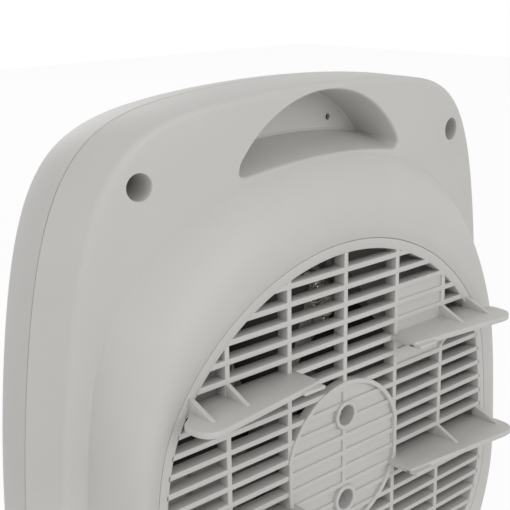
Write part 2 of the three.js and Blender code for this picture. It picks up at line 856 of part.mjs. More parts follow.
function spindle(x) {
  const rear = -frontInner + 8;
  const front = -frontDepth - 1 - knobDepth + 3 + clearance;
  return rod(spindleRadius, front, rear, x, knobZ, 24);
}

function controlBody(x) {
  const front = -frontInner + clearance;
  const half = controlWidth / 2;
  const rear = front + controlDepth;
  const bore = rod(spindleRadius + clearance, front - 1, front + 8, x, knobZ, 24);
  const terminals = [-7, 7].map((dx) => box(x + dx - 3, x + dx + 3, rear - 1, rear + 6, knobZ - 0.4, knobZ + 0.4));
  return joined([box(x - half, x + half, front, rear, knobZ - half, knobZ + half), ...terminals]).subtract(bore);
}

function pilotLens() {
  const inner = -frontInner + clearance;
  const profile = [
    [0, -frontDepth - lensRise],
    [lensRadius * 0.5, -frontDepth - lensRise + 0.3],
    [lensRadius, -frontDepth - 0.3],
    [lensRadius, inner],
    [lensRadius + 2, inner],
    [lensRadius + 2, inner + 2],
    [0, inner + 2],
  ];
  return turned(profile, 16).translate([0, 0, knobZ]);
}

// ---- Assembly ----

const heater = new THREE.Group();
heater.position.set(0, depthShift, inletHeight + footHeight);

function place(name, body, material) {
  const mesh = new THREE.Mesh(geometryOf(body), material);
  mesh.name = name;
  heater.add(mesh);
}

place('rear_cover', rearCover(), abs.casing);
place('rear_grille', rearGrille(), abs.casing);
place('front_cover', frontCover(), abs.casing);
place('front_grille', frontGrille(), abs.casing);
for (const [name, x, z] of caseScrews) place(name, screw(wellFloor - clearance, screwReach, x, z), steel);
const motorScrews = [['motor_screw_upper', 1], ['motor_screw_lower', -1]];
for (const [name, way] of motorScrews) {
  const z = axisHeight + way * motorScrewOffset;
  place(name, screw(bossFloor - clearance, wall + capLength + 4, 0, z), steel);
}
place('motor_cap', motorCap(), steel);
place('motor_can', motorCan(), steel);
place('motor_shaft', motorShaft(), steel);
place('fan_impeller', fanImpeller(), darkPlastic);
place('fan_nut', fanNut(), steel);
place('heater_band', heaterBand(), steel);
place('heater_mica_level', micaLevel(), mica);
place('heater_mica_upright', micaUpright(), mica);
place('heating_coil', heatingCoil(), wireMetal);
place('thermal_cutout', thermalCutout(), darkPlastic);
place('thermostat_knob', knob(-knobX, 0), abs.casing);
place('thermostat_spindle', spindle(-knobX), steel);
place('thermostat_body', controlBody(-knobX), darkPlastic);
place('selector_knob', knob(knobX, 0), abs.casing);
place('selector_spindle', spindle(knobX), steel);
place('selector_switch', controlBody(knobX), darkPlastic);
place('pilot_lens', pilotLens(), amber);
place('cord_inlet', cordInlet(), abs.rubber);
for (const [side, x] of [['left', -footX], ['right', footX]]) {
  place(`foot_rear_${side}`, foot(x, rearFootDepth, rearEnvelope()), abs.rubber);
  place(`foot_front_${side}`, foot(x, frontFootDepth, frontEnvelope()), abs.rubber);
}

export default heater;
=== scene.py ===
# Bathroom wall fan heater, seen from behind: domed rear cover, slatted inlet grille with stand-off
# brackets, carrying pocket, and the fan and heating coil in the dark behind the slats.
import math
import bmesh
import bpy
import numpy as np
from mathutils import Matrix, Vector


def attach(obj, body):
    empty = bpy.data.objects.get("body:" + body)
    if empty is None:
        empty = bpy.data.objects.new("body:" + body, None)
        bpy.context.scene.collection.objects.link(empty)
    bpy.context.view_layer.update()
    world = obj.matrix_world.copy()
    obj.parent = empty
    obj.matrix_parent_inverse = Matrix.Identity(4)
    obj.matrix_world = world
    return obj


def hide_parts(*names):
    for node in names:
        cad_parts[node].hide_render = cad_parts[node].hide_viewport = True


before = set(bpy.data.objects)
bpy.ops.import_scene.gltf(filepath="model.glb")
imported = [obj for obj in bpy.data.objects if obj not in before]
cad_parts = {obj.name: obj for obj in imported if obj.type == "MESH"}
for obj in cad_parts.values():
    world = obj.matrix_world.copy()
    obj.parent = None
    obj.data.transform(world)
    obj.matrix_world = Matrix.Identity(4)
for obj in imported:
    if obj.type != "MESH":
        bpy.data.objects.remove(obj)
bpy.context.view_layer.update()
mm = 0.001  # all sizes below are millimetres unless a note says otherwise

# Places shared by all pieces. x is to the right seen from the front, y runs to the rear from the
# plane of the inlet grille, and z is counted up from the inlet's centre.
body = dict(depthShift=33.5, inletZ=145.0, top=161.0, bottom=-140.0, halfWidth=119.0, sideSpread=6.0,
            widestZ=-14.0, sideRadius=630.0, topRadius=504.0, cornerPower=8, wall=2.5, clearance=0.3,
            plateDepth=10.3, plateBow=600.0, plateFillet=3.0, partingDepth=36.4, partingEdge=0.35,
            partingStep=0.5)
arch = dict(radius=96.6, legHalfWidth=92.0, legFlare=0.1, bottom=67.0, cornerPower=36, ringWidth=4.0,
            ringDepth=6.0)
dome = dict(radius=133.7, margin=9.0, bottom=108.0, cornerPower=18, crestWidth=4.5, crestHeight=0.9,
            power=2.4)
axisZ = 11.0  # height of the motor's axis
ringCount = 360  # points in each outline drawn about the inlet's centre
farOut = 600.0  # no outline reaches this far from the inlet's centre
halvings = 40  # steps that find an outline's distance
weldDistance = 1e-6  # metres; closer points are one point


def linear(hexColour):  # sRGB hex to the linear colour that shaders take
    values = [int(hexColour[i:i + 2], 16) / 255 for i in (0, 2, 4)]
    return tuple(v / 12.92 if v <= 0.04045 else ((v + 0.055) / 1.055) ** 2.4 for v in values) + (1.0,)


def toFrame(x, y, z):  # a place in the heater's own millimetres, as metres in the shared frame
    return Vector((x * mm, (y + body["depthShift"]) * mm, (z + body["inletZ"]) * mm))


def deselectAll():
    if bpy.context.object and bpy.context.object.mode != "OBJECT":
        bpy.ops.object.mode_set(mode="OBJECT")
    bpy.ops.object.select_all(action="DESELECT")


def activate(piece):
    deselectAll()
    piece.select_set(True)
    bpy.context.view_layer.objects.active = piece


def finishPiece(piece, name, material, smoothAngle=35):
    activate(piece)
    bpy.ops.object.transform_apply(location=True, rotation=True, scale=True)
    piece.name = name
    piece.data.name = name
    piece.data.materials.clear()
    piece.data.materials.append(material)
    if smoothAngle:
        bpy.ops.object.shade_smooth_by_angle(angle=math.radians(smoothAngle))
    return piece


def applyModifiers(piece):
    activate(piece)
    for modifier in list(piece.modifiers):
        bpy.ops.object.modifier_apply(modifier=modifier.name)


def bevelEdges(piece, width, segments=2, angle=30):
    modifier = piece.modifiers.new("softEdges", "BEVEL")
    modifier.width = width * mm
    modifier.segments = segments
    modifier.limit_method = "ANGLE"
    modifier.angle_limit = math.radians(angle)
    modifier.harden_normals = False
    applyModifiers(piece)


def joinPieces(pieces):
    deselectAll()
    for piece in pieces:
        piece.select_set(True)
    bpy.context.view_layer.objects.active = pieces[0]
    if len(pieces) > 1:
        bpy.ops.object.join()
    return pieces[0]


def outwards(piece):
    activate(piece)
    bpy.ops.object.mode_set(mode="EDIT")
    bpy.ops.mesh.select_all(action="SELECT")
    bpy.ops.mesh.remove_doubles(threshold=weldDistance)
    bpy.ops.mesh.normals_make_consistent(inside=False)
    bpy.ops.object.mode_set(mode="OBJECT")


# Rings with the same number of points are joined by faces. A closed loft joins its last ring to its
# first, and an open one gets a face at each end.
def loft(name, rings, closed=False):
    mesh = bpy.data.meshes.new(name)
    piece = bpy.data.objects.new(name, mesh)
    bpy.context.collection.objects.link(piece)
    form = bmesh.new()
    loops = [[form.verts.new(toFrame(*point)) for point in ring] for ring in rings]
    count = len(rings[0])
    pairs = list(zip(loops, loops[1:] + ([loops[0]] if closed else [])))
    for near, far in pairs:
        for i in range(count):
            j = (i + 1) % count
            form.faces.new((near[i], near[j], far[j], far[i]))
    if not closed:
        form.faces.new(loops[0])
        form.faces.new(list(reversed(loops[-1])))
    bmesh.ops.recalc_face_normals(form, faces=form.faces)
    form.to_mesh(mesh)
    form.free()
    return piece


def block(x0, x1, y0, y1, z0, z1):  # a box between two corners
    middle = toFrame((x0 + x1) / 2, (y0 + y1) / 2, (z0 + z1) / 2)
    bpy.ops.mesh.primitive_cube_add(size=1, location=middle)
    piece = bpy.context.object
    piece.scale = ((x1 - x0) * mm, (y1 - y0) * mm, (z1 - z0) * mm)
    bpy.ops.object.transform_apply(location=True, rotation=True, scale=True)
    return piece


def turned(name, profile, x, z, sides=48):  # a turned piece about the y axis: pairs of radius and y
    rings = []
    for i in range(sides):
        turn = 2 * math.pi * i / sides
        rings.append([(x + r * math.cos(turn), y, z + r * math.sin(turn)) for r, y in profile])
    piece = loft(name, rings, closed=True)
    outwards(piece)
    return piece


def combine(piece, other, operation):
    modifier = piece.modifiers.new("combine", "BOOLEAN")
    modifier.operation = operation
    modifier.solver = "EXACT"
    modifier.object = other
    applyModifiers(piece)


def cutAway(piece, cutter):
    combine(piece, cutter, "DIFFERENCE")
    bpy.data.objects.remove(cutter)


def addOn(piece, other):
    combine(piece, other, "UNION")
    bpy.data.objects.remove(other)


turns = np.linspace(0, 2 * math.pi, ringCount, endpoint=False)
smallest = 1e-6  # keeps a divisor above nothing
aside = 2e-3  # half the angle between the two points that give an outline its direction


def distanceOut(angles, inside):  # how far an outline lies from the centre at each angle
    low = np.zeros_like(angles)
    high = np.full_like(angles, farOut)
    for _ in range(halvings):
        middle = (low + high) / 2
        within = inside(middle * np.cos(angles), middle * np.sin(angles))
        low = np.where(within, middle, low)
        high = np.where(within, high, middle)
    return low


def bodyEdge(angles, spread):
    def inside(x, z):
        half = body["halfWidth"] + spread - (z - body["widestZ"]) ** 2 / (2 * body["sideRadius"])
        top = body["top"] - x ** 2 / (2 * body["topRadius"])
        middle = (top + body["bottom"]) / 2
        across = np.abs(x / np.maximum(half, 1)) ** body["cornerPower"]
        return (half > 1) & (across + np.abs((z - middle) / (top - middle)) ** body["cornerPower"] < 1)
    return distanceOut(angles, inside)


def softLeast(lengths, power):  # the least of several lengths, with the change-over rounded
    return sum((1 / length) ** power for length in lengths) ** (-1 / power)


def archEdge(angles):
    lean = np.abs(np.cos(angles)) + arch["legFlare"] * np.sin(angles)
    leg = arch["legHalfWidth"] / np.maximum(smallest, lean)
    low = arch["bottom"] / np.maximum(smallest, -np.sin(angles))
    return softLeast([arch["radius"], leg, low], arch["cornerPower"])


def domeEdge(angles):
    side = bodyEdge(angles, 0) - dome["margin"]
    low = dome["bottom"] / np.maximum(smallest, -np.sin(angles))
    return softLeast([dome["radius"], side, low], dome["cornerPower"])


def edgePoints(edge, offset=0.0, angles=turns):  # an outline, moved outwards by the offset
    def at(a):
        return np.stack([np.cos(a), np.sin(a)], 1) * edge(a)[:, None]
    along = at(angles + aside) - at(angles - aside)
    along /= np.linalg.norm(along, axis=1)[:, None]
    return at(angles) + offset * np.stack([along[:, 1], -along[:, 0]], 1)


def archPoints(offset):
    return edgePoints(archEdge, offset)


def bodyPoints(inset, spread):
    return edgePoints(lambda a: bodyEdge(a, spread), -inset)


def plateLevel(x):  # the back plate is bowed from side to side
    return -body["plateDepth"] - x ** 2 / (2 * body["plateBow"])


def flat(points, y):
    return [(p[0], y, p[1]) for p in points]


def onPlate(points, down):
    return [(p[0], plateLevel(p[0]) - down, p[1]) for p in points]


def addNode(tree, kind, settings=None, links=None):
    node = tree.nodes.new(kind)
    for key, value in (settings or {}).items():
        if key in node.inputs:
            node.inputs[key].default_value = value
        else:
            setattr(node, key, value)
    for key, source in (links or {}).items():
        tree.links.new(source, node.inputs[key])
    return node


driftScale = 18.0  # patches to the metre
grainHeight = 0.0002  # metres


def newMaterial(name):
    material = bpy.data.materials.new(name)
    material.use_nodes = True
    tree = material.node_tree
    return material, tree, tree.nodes["Principled BSDF"]


# A moulded plastic: the colour drifts very little over patches of about 55 mm, and the mould's
# spark-eroded skin leaves a fine even grain, whose size is given in millimetres.
def mouldedPlastic(name, colour, shade, roughness, grain, bump=0.06):
    material, tree, shader = newMaterial(name)
    place = addNode(tree, "ShaderNodeTexCoord")
    drift = addNode(tree, "ShaderNodeTexNoise", {"Scale": driftScale, "Detail": 3.0, "Roughness": 0.5},
                    {"Vector": place.outputs["Object"]})
    ramp = addNode(tree, "ShaderNodeValToRGB", {}, {"Fac": drift.outputs["Fac"]})
    ramp.color_ramp.elements[0].position = 0.3
    ramp.color_ramp.elements[0].color = linear(shade)
    ramp.color_ramp.elements[1].position = 0.7
    ramp.color_ramp.elements[1].color = linear(colour)
    tree.links.new(ramp.outputs["Color"], shader.inputs["Base Color"])
    fine = addNode(tree, "ShaderNodeTexNoise", {"Scale": 1000 / grain, "Detail": 2.0},
                   {"Vector": place.outputs["Object"]})
    relief = addNode(tree, "ShaderNodeBump", {"Strength": bump, "Distance": grainHeight},
                     {"Height": fine.outputs["Fac"]})
    tree.links.new(relief.outputs["Normal"], shader.inputs["Normal"])
    spread = addNode(tree, "ShaderNodeMapRange", {"To Min": roughness - 0.05, "To Max": roughness + 0.05},
                     {"Value": drift.outputs["Fac"]})
    tree.links.new(spread.outputs["Result"], shader.inputs["Roughness"])
    shader.inputs["IOR"].default_value = 1.52
    return material


# A metal drawn or rolled in one direction: fine streaks change how it shines and not its colour.
def brushedMetal(name, colour, roughness, scratch):
    material, tree, shader = newMaterial(name)
    place = addNode(tree, "ShaderNodeTexCoord")
    streaks = addNode(tree, "ShaderNodeMapping", {"Scale": (1.0, 12.0, 1.0)},
                      {"Vector": place.outputs["Object"]})
    marks = addNode(tree, "ShaderNodeTexNoise", {"Scale": 1000 / scratch, "Detail": 3.0},
                    {"Vector": streaks.outputs["Vector"]})
    spread = addNode(tree, "ShaderNodeMapRange", {"To Min": roughness - 0.08, "To Max": roughness + 0.1},
                     {"Value": marks.outputs["Fac"]})
    tree.links.new(spread.outputs["Result"], shader.inputs["Roughness"])
    shader.inputs["Base Color"].default_value = linear(colour)
    shader.inputs["Metallic"].default_value = 1.0
    return material


# ABS from a spark-eroded mould: an even matte light grey that shows soft shading and no reflections.
casing = mouldedPlastic("matteAbsMoulding", "C9C7C4", "C4C2BF", 0.5, 0.45)
# ABS from a smoother mould: the knobs shine a little more than the casing.
knobPlastic = mouldedPlastic("satinAbsKnob", "CBC8C4", "C6C2BE", 0.4, 0.6)
# Nylon filled with glass fibre: near black and slightly rough, for the fan and the controls' bodies.
darkPlastic = mouldedPlastic("glassFilledNylon", "2B2826", "232120", 0.55, 0.5, 0.12)
# Moulded rubber: dull black that hardly reflects, for the feet and the inlet bush.
rubber = mouldedPlastic("blackRubber", "2A2A2C", "222224", 0.75, 0.4, 0.15)
# Pressed mica: flakes of about 1.5 mm in a brownish sheet.
mica = mouldedPlastic("micaSheet", "B5A88C", "978A70", 0.6, 1.5, 0.1)
# Rolled galvanised sheet: a grey metal with soft streaks.
sheetSteel = brushedMetal("galvanisedSteel", "A7A9AB", 0.38, 0.8)
# Zinc-plated steel: pale and half bright, as on the screws in the shield and the turned shafts.
screwSteel = brushedMetal("zincPlatedScrew", "C6C8CB", 0.55, 0.3)
# Blackened steel: the case screws stay dark at the bottom of their wells.
blackScrew = brushedMetal("blackOxideScrew", "2E2B29", 0.45, 0.3)
# Drawn resistance wire: it catches the light as thin bright strips.
resistanceWire = brushedMetal("nichromeWire", "B9B0A4", 0.35, 0.2)
# Clear amber acrylic, polished: the pilot lamp's lens lets some light through.
amberLens, lensTree, lensShader = newMaterial("amberAcrylic")
lensShader.inputs["Base Color"].default_value = linear("E07B1E")
lensShader.inputs["Roughness"].default_value = 0.12
lensShader.inputs["Transmission Weight"].default_value = 0.35
print("materials done")


# Rear cover: a shell lofted from the arch's lip over the dome and the back plate to the parting edge and
# back along its inside, with the carrying pocket, the screw wells and the holes cut in. The lip and the
# mouth are lists of pairs: how far out and how high.
cover = dict(domeSteps=20, plateShares=(0.03, 0.35, 0.7), filletSteps=6, filletTurn=14,
             lip=[(0, -0.4), (0.1, -0.05), (0.4, 0.08), (1.0, 0.25), (2.0, 0.5), (3.2, 0.78)],
             mouth=[(2.2, 1.2), (1.0, 0.25), (0.55, -0.1), (0.2, -0.55), (0.0, -1.1)],
             underSkin=0.5, trimDepth=60.0,
             pocketHalfWidth=43.0, pocketTop=157.5, pocketBottom=133.7, pocketTopRadius=51.0, pocketSag=4.0,
             pocketTip=3.5, pocketDepth=24.4, pocketBack=1.5, floorRise=4.7,
             hangHoleRadius=1.3, hangHoleX=-25.4, hangHoleZ=142.6,
             wellRadius=4.6, wellWall=2.0, wellFloor=31.0, screwHole=2.1, screwHoleSpan=(-40, -25),
             wells=[(-83.6, 132.7), (83.6, 132.7), (-88.0, -118.0), (88.0, -118.0)],
             inletZ=-123.0, inletRadius=6.3, inletSpan=(-20, 0))
seatOffset = arch["ringWidth"] + body["clearance"]
crestOffset = seatOffset + dome["crestWidth"]


def domeRing(share, inward=0.0, down=0.0):  # share 0 is the crest and share 1 the foot
    crest = archPoints(crestOffset)
    foot = edgePoints(domeEdge)
    at = crest + (foot - crest) * share
    base = plateLevel(foot[:, 0])
    y = base + (dome["crestHeight"] - base) * (1 - share ** dome["power"]) - down
    length = np.linalg.norm(at, axis=1)[:, None]
    at = at * (length - inward) / length
    return [(p[0], level, p[1]) for p, level in zip(at, y)]


def coverOuterRings():
    fillet, parting, spread = body["plateFillet"], body["partingDepth"], body["sideSpread"]
    rings = [flat(archPoints(seatOffset + a), y) for a, y in cover["lip"]]
    rings += [domeRing(share) for share in np.linspace(0, 1, cover["domeSteps"])]
    foot = edgePoints(domeEdge)
    edge = bodyPoints(fillet, 0)
    rings += [onPlate(foot + (edge - foot) * share, 0) for share in cover["plateShares"]]
    for step in range(cover["filletSteps"]):
        turn = math.radians(cover["filletTurn"] * step)
        edge = bodyPoints(fillet * (1 - math.sin(turn)), 0)
        rings.append(onPlate(edge, fillet * (1 - math.cos(turn))))
    rings.append(flat(bodyPoints(0, spread), -parting + body["partingStep"]))
    rings.append(flat(bodyPoints(body["partingEdge"], spread), -parting))
    return rings


# The pocket's outline, moved outwards by the offset: a shallow arc below, rounded tips and a fuller arc
# above.
def crescent(offset, rise=0.0):
    half, sag = cover["pocketHalfWidth"], cover["pocketSag"]
    lowRadius = (half ** 2 + sag ** 2) / (2 * sag)
    lowCentre = cover["pocketBottom"] + rise - lowRadius
    lowSteps, tipSteps, topSteps = 32, 9, 64
    reach = half + offset
    lowReach, topReach = reach - cover["pocketTip"], reach - 1
    points = []
    for i in range(lowSteps + 1):
        x = -lowReach + 2 * lowReach * i / lowSteps
        points.append((x, lowCentre + math.sqrt((lowRadius - offset) ** 2 - x ** 2)))
    lowEnd = points[-1][1]
    radius = cover["pocketTopRadius"] + offset
    topCentre = cover["pocketTop"] - cover["pocketTopRadius"]
    start = math.asin(min(1, topReach / radius))
    topStart = topCentre + radius * math.cos(start)
    tip = []
    for i in range(1, tipSteps):
        t = i / tipSteps
        x = (1 - t) ** 2 * lowReach + 2 * t * (1 - t) * (reach + 1.6) + t ** 2 * topReach
        z = (1 - t) ** 2 * lowEnd + 2 * t * (1 - t) * (lowEnd - 0.4) + t ** 2 * topStart
        tip.append((x, z))
    points += tip
    for i in range(topSteps + 1):
        turn = start * (1 - 2 * i / topSteps)
        points.append((radius * math.sin(turn), topCentre + radius * math.cos(turn)))
    points += [(-x, z) for x, z in reversed(tip)]
    return np.array(points)


def roundOutline(x, z, radius, sides=48):
    around = [2 * math.pi * i / sides for i in range(sides)]
    return np.array([(x + radius * math.cos(turn), z + radius * math.sin(turn)) for turn in around])


def drill(piece, x, z, radius, span, sides=48):  # a round hole along y between two levels
    cutAway(piece, loft("drill", [flat(roundOutline(x, z, radius, sides), y) for y in span]))


def buildRearCover():
    wall, spread, fillet = body["wall"], body["sideSpread"], body["plateFillet"]
    outer = coverOuterRings()
    inner = [flat(bodyPoints(wall, spread), -body["partingDepth"]),
             onPlate(bodyPoints(wall * 1.3, 0), wall + fillet),
             onPlate(bodyPoints(fillet + wall, 0), wall)]
    inner += [domeRing(share, wall * 0.9 * share, wall) for share in (1, 0.8, 0.6, 0.4, 0.2, 0)]
    inner.append(flat(archPoints(seatOffset), -wall - 1))
    shell = loft("rearCoverShell", outer + inner, closed=True)
    # The cup and the wells' tubes start outside the skin and are trimmed by a form that lies just under it.
    lowered = [[(x, y - cover["underSkin"], z) for x, y, z in ring] for ring in outer]
    deep = -cover["trimDepth"]
    envelope = loft("underSkin", lowered + [flat(bodyPoints(1, spread), deep),
                                            flat(archPoints(seatOffset + 1), deep)], closed=True)
    floor = -(body["plateDepth"] + cover["pocketDepth"])
    wellRadius, wellFloor = cover["wellRadius"], -cover["wellFloor"]
    solids = [loft("cup", [flat(crescent(wall), y) for y in (floor - cover["pocketBack"], 6)])]
    for x, z in cover["wells"]:
        tube = roundOutline(x, z, wellRadius + cover["wellWall"])
        solids.append(loft("well", [flat(tube, y) for y in (wellFloor - wall, 5)]))
    for solid in solids:
        combine(solid, envelope, "INTERSECT")
        addOn(shell, solid)
    bpy.data.objects.remove(envelope)
    rise, mouth = cover["floorRise"], cover["mouth"]
    rings = [flat(crescent(mouth[0][0] + 0.4), 5)] + [onPlate(crescent(a), -d) for a, d in mouth]
    rings += [flat(crescent(-0.6, rise * 0.96), floor + 0.7), flat(crescent(-1.3, rise), floor)]
    cutAway(shell, loft("pocketSpace", rings))
    for x, z in cover["wells"]:
        rings = [onPlate(roundOutline(x, z, wellRadius + 0.45 * a), -d) for a, d in mouth]
        cutAway(shell, loft("wellSpace", rings + [flat(roundOutline(x, z, wellRadius), wellFloor)]))
        drill(shell, x, z, cover["screwHole"], cover["screwHoleSpan"])
    hangSpan = (floor - 4, floor + 3)
    drill(shell, cover["hangHoleX"], cover["hangHoleZ"], cover["hangHoleRadius"], hangSpan, 24)
    drill(shell, 0, cover["inletZ"], cover["inletRadius"], cover["inletSpan"])
    return finishPiece(shell, "rearCoverMoulding", casing, 28)


rearCover = buildRearCover()
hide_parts("rear_cover")
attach(rearCover, "housing")
print("rear cover done")


# Inlet grille: slats from side to side and bars a hair behind their faces, both reaching into the ring,
# with the motor shield and its screw bosses in the middle and the brackets standing out to the rear.
grille = dict(slatPitch=7.0, slatThickness=2.4, slatFace=2.2, slatBack=1.6, slatDepth=5.8, firstSlat=88.8,
              barPitch=30.5, barWidth=2.2, barBack=1.7, barDepth=5.8, barSetback=0.12, intoRing=1.2,
              ringExtra=0.18, seatStep=3.9, seatWidth=3.0, edgeRound=0.28,
              blindTop=75.5, blindBottom=40.0, blindSpan=(-3.4, -1.0),
              shieldRadius=33.0, shieldSetback=1.0, shieldThickness=2.2, rimWidth=2.0, rimHeight=0.8,
              rimRound=0.3, holeSpan=(-8, 4), bossRadius=6.0, bossHeight=1.2, bossBore=4.3, bossFloor=6.5,
              bossOffset=18.6, bossBase=2.5, screwHole=2.1)
# A bracket grows from a slat at its level, reaches out to outer, and meets the inlet's ring at root.
bracket = dict(inner=27.3, reach=12.5, tip=20.0, corner=9.0, gussetHeight=6.0, gussetHalf=0.95,
               tabWidth=10.5, tabReach=2.8, tabStep=1.0, edgeRound=0.35,
               upper=dict(level=53.8, outer=87.0, root=79.5), lower=dict(level=-2.2, outer=93.5, root=91.0))
archLine = archPoints(0)


def archHalfWidth(z):  # half the opening's width at a height
    right = archLine[(archLine[:, 0] > 0)]
    order = np.argsort(right[:, 1])
    return float(np.interp(z, right[order, 1], right[order, 0]))


def archTop(x):
    upper = archLine[archLine[:, 1] > 0]
    order = np.argsort(upper[:, 0])
    return float(np.interp(x, upper[order, 0], upper[order, 1]))


def taperedBar(name, front, back, yFront, yBack):  # four corners in front, four behind
    return loft(name, [[(x, yFront, z) for x, z in front], [(x, yBack, z) for x, z in back]])


def buildSlats():
    slats = []
    thickness, into = grille["slatThickness"], grille["intoRing"]
    draft = (thickness - grille["slatBack"]) / 2
    trim = (thickness - grille["slatFace"]) / 2
    z = grille["firstSlat"]
    while z > -arch["bottom"] + 1:
        top = z + thickness
        low, high = archHalfWidth(z) + into, archHalfWidth(top) + into
        front = [(-low, z + trim), (low, z + trim), (high, top - trim), (-high, top - trim)]
        back = [(-low, z + draft), (low, z + draft), (high, top - draft), (-high, top - draft)]
        slats.append(taperedBar("slat", front, back, 0, -grille["slatDepth"]))
        z -= grille["slatPitch"]
    return joinPieces(slats)


def buildBars():
    bars = []
    half, back = grille["barWidth"] / 2, grille["barBack"] / 2
    low = -arch["bottom"] - grille["intoRing"]
    for i in range(-2, 3):
        x = i * grille["barPitch"]
        top = archTop(x) + grille["intoRing"]
        front = [(x - half, low), (x + half, low), (x + half, top), (x - half, top)]
        rear = [(x - back, low), (x + back, low), (x + back, top), (x - back, top)]
        bars.append(taperedBar("bar", front, rear, -grille["barSetback"], -grille["barDepth"]))
    return joinPieces(bars)


def buildRing():  # the grille's frame, with a step that seats behind the rear cover's lip
    wide = arch["ringWidth"] + grille["ringExtra"]
    seat, far, deep = -grille["seatStep"], wide + grille["seatWidth"], -arch["ringDepth"]
    profile = [(0, deep), (0, -0.5), (0.15, -0.15), (0.5, 0), (wide - 0.25, 0), (wide - 0.07, -0.06),
               (wide, -0.2), (wide, seat), (far, seat), (far, deep)]
    return loft("ring", [flat(archPoints(a), y) for a, y in profile], closed=True)


def clippedDisc(radius, half, sides=96):
    points = roundOutline(0, axisZ, radius, sides)
    points[:, 0] = np.clip(points[:, 0], -half, half)
    return points


def buildShield():  # a disc clipped by the bars beside it, with a low rim
    half = grille["barPitch"] + grille["barWidth"] / 2
    front, back = -grille["shieldSetback"], -grille["shieldSetback"] - grille["shieldThickness"]
    radius, rim = grille["shieldRadius"], grille["rimWidth"]
    high, soft = grille["rimHeight"], grille["rimRound"]

    def edge(inset):
        return clippedDisc(radius - inset, half - inset)
    return loft("shield", [flat(edge(0), back), flat(edge(0), high - soft), flat(edge(soft), high),
                           flat(edge(rim - soft), high), flat(edge(rim), high - soft),
                           flat(edge(rim), front)])


def buildBoss(way):
    z = axisZ + way * grille["bossOffset"]
    r, bore, hole = grille["bossRadius"], grille["bossBore"], grille["screwHole"]
    high, floor = grille["bossHeight"], -grille["bossFloor"]
    base, soft = floor - grille["bossBase"], 0.4
    profile = [(hole, base), (r, base), (r, high - soft), (r - soft, high), (bore + soft, high),
               (bore, high - soft), (bore, floor), (hole, floor)]
    return turned("boss", profile, 0, z)


# Each corner named in rounds is swept by a curve of that reach between its two neighbours.
def cornerRound(points, rounds, steps=10):
    result = []
    count = len(points)
    for i, (x, y) in enumerate(points):
        radius = rounds.get(i, 0)
        if not radius:
            result.append((x, y))
            continue
        here = Vector((x, y))
        before = (Vector(points[i - 1]) - here).normalized() * radius
        after = (Vector(points[(i + 1) % count]) - here).normalized() * radius
        for k in range(steps + 1):
            t = k / steps
            p = (1 - t) ** 2 * (here + before) + 2 * t * (1 - t) * here + t ** 2 * (here + after)
            result.append((p.x, p.y))
    return result


# A gusset stands on the bracket's face at the level base, highest at the ring and running out to end.
def buildGusset(x, height, base, end, hollow=0.0):
    tip, half = end - 1.0, bracket["gussetHalf"]
    corners = [(-2, base), (end, base), (tip, base + 0.1 * height)]
    for share in (0.25, 0.5, 0.75):
        bulge = 0.1 + 0.8 * share - hollow * math.sin(math.pi * share)
        corners.append((tip * (1 - share), base + height * bulge))
    corners += [(0, base + 0.9 * height), (-2, base + 0.95 * height)]
    return loft("gusset", [[(x + w, y, z) for y, z in corners] for w in (-half, half)])


def buildBracket(side, level, outer, root):
    inner, reach = bracket["inner"], bracket["reach"]
    outline = [(inner, -2), (inner, reach), (outer, bracket["tip"]), (outer, 7), (root, 1.8), (root, -2)]
    outline = cornerRound(outline, {1: 0.8, 2: bracket["corner"], 3: 2.0})
    top, sunk, height = level + grille["slatThickness"], 0.4, bracket["gussetHeight"]
    overBar = side * 2 * grille["barPitch"]
    tab = sorted([side * inner, side * (inner + bracket["tabWidth"])])
    return joinPieces([
        loft("plate", [[(side * x, y, z) for x, y in outline] for z in (level, top)]),
        buildGusset(overBar, height, top - sunk, 11.6),
        buildGusset(side * (root - 1.5), height, top - sunk, 13.2),
        buildGusset(overBar, -2.1 * height, level + sunk, 13.0, 0.22),
        block(tab[0], tab[1], reach - 3, reach + bracket["tabReach"], level, top - bracket["tabStep"])])


def buildBlind():  # a closed panel in the upper left field of the grille
    left, right = -2 * grille["barPitch"] - 2.4, -grille["barPitch"]
    low, high = grille["blindBottom"], grille["blindTop"]
    edge = max(left, -archHalfWidth(high) - grille["intoRing"])
    corners = [(left, low), (right, low), (right, high), (edge, high), (left, min(high, archTop(left)))]
    return loft("blind", [[(x, y, z) for x, z in corners] for y in grille["blindSpan"]])


def buildGrille():
    slats, bars = buildSlats(), buildBars()
    for part in (slats, bars):
        outwards(part)
        bevelEdges(part, grille["edgeRound"])
    brackets = [buildBracket(side, place["level"], place["outer"], place["root"])
                for side in (1, -1) for place in (bracket["upper"], bracket["lower"])]
    for part in brackets:
        outwards(part)
        bevelEdges(part, bracket["edgeRound"], angle=40)
    blind, shield = buildBlind(), buildShield()
    bosses = [buildBoss(1), buildBoss(-1)]
    for way in (1, -1):
        for part in (shield, slats, bars):
            drill(part, 0, axisZ + way * grille["bossOffset"], grille["bossBore"] + 0.5, grille["holeSpan"])
    named = [(buildRing(), "inletRing"), (slats, "inletSlats"), (bars, "inletBars"),
             (shield, "motorShield"), (joinPieces(bosses), "screwBosses"),
             (joinPieces(brackets), "standOffBrackets"), (blind, "blindPanel")]
    for piece, name in named:
        outwards(piece)
        finishPiece(piece, name, casing, 30)
        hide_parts("rear_grille")
        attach(piece, "housing")


buildGrille()
print("inlet grille done")


# Front cover: a bowl lofted from the parting edge round to its flat face and the outlet's raised bezel. A
# bezel point is how far out and how far forward it lies.
front = dict(depth=72.0, inset=19.0, outletRadius=76.0, bezelWidth=5.0, bezelHeight=4.0, steps=12,
             backSteps=6, faceShares=(0.25, 0.5, 0.75), knobX=48.0, knobZ=119.0, spindleHole=3.3,
             lensHole=4.3, holeSpan=(-80, -60))


